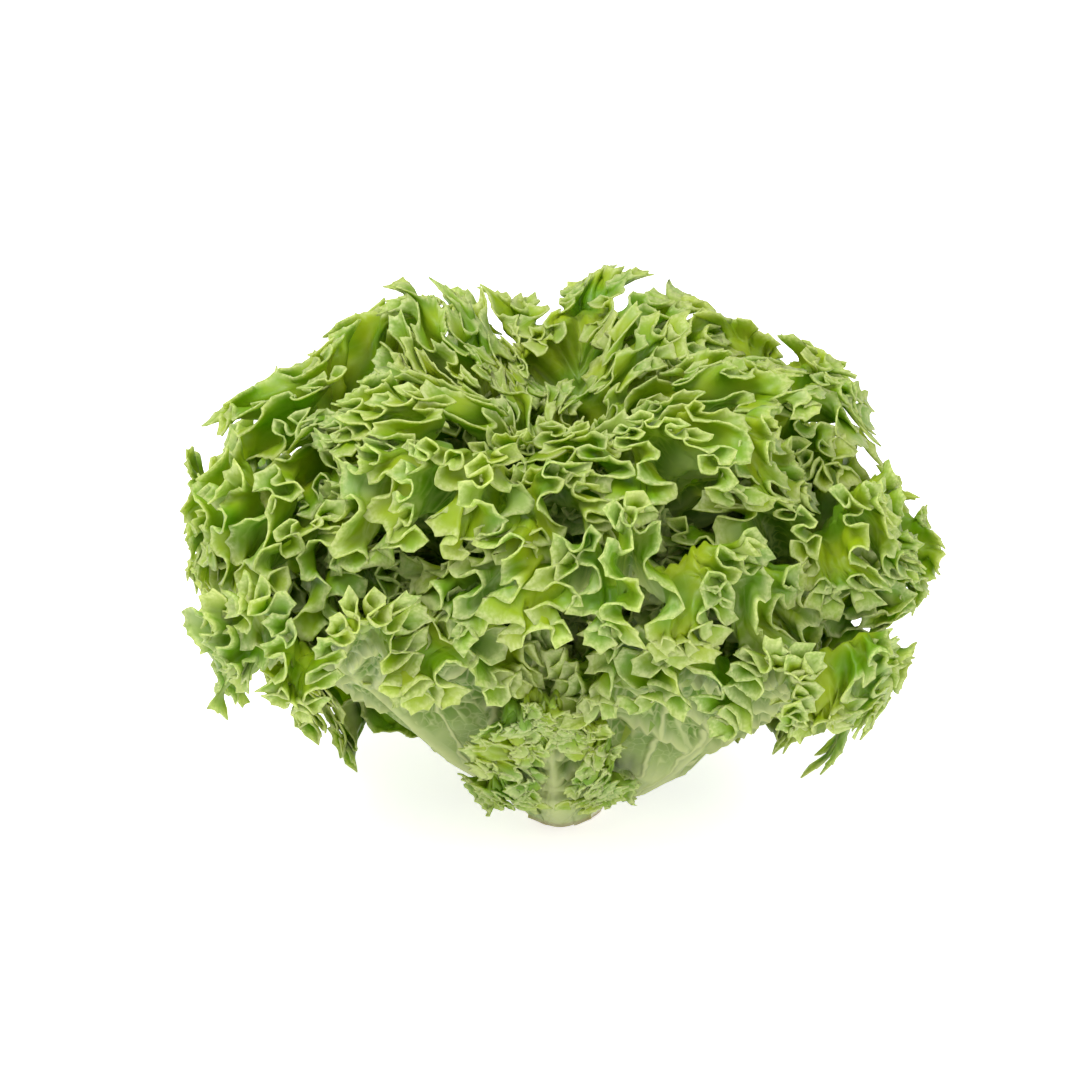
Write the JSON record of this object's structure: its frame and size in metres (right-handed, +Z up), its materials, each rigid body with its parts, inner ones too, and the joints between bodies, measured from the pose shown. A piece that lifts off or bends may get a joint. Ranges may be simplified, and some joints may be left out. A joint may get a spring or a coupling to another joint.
{
  "type": "loose-leaf lettuce head",
  "caption": "Whole head of green frilly leaf lettuce standing on its cut stem, with tightly waved and toothed leaf margins around a hollow heart.",
  "frame": {"origin": "centre of the round cut face under the stem, which rests on the table", "axes": "+Z up along the stem, -Y towards the front of the head as pictured, +X to the right"},
  "size_m": [0.2549, 0.2519, 0.1765],
  "materials": {
    "cut_stem": "satin",
    "outer_leaf": "satin",
    "middle_leaf": "satin",
    "heart_leaf": "satin"
  },
  "bodies": {
    "root": {"cut_stem": "cut_stem", "outer_leaf_01": "outer_leaf", "outer_leaf_02": "outer_leaf", "outer_leaf_03": "outer_leaf", "outer_leaf_04": "outer_leaf", "outer_leaf_05": "outer_leaf", "outer_leaf_06": "outer_leaf", "outer_leaf_07": "outer_leaf", "outer_leaf_08": "outer_leaf", "outer_leaf_09": "outer_leaf", "middle_leaf_01": "middle_leaf", "middle_leaf_02": "middle_leaf", "middle_leaf_03": "middle_leaf", "middle_leaf_04": "middle_leaf", "middle_leaf_05": "middle_leaf", "middle_leaf_06": "middle_leaf", "middle_leaf_07": "middle_leaf", "middle_leaf_08": "middle_leaf", "middle_leaf_09": "middle_leaf", "middle_leaf_10": "middle_leaf", "middle_leaf_11": "middle_leaf", "middle_leaf_12": "middle_leaf", "heart_leaf_01": "heart_leaf", "heart_leaf_02": "heart_leaf", "heart_leaf_03": "heart_leaf", "heart_leaf_04": "heart_leaf", "heart_leaf_05": "heart_leaf", "heart_leaf_06": "heart_leaf", "heart_leaf_07": "heart_leaf"}
  },
  "joints": []
}
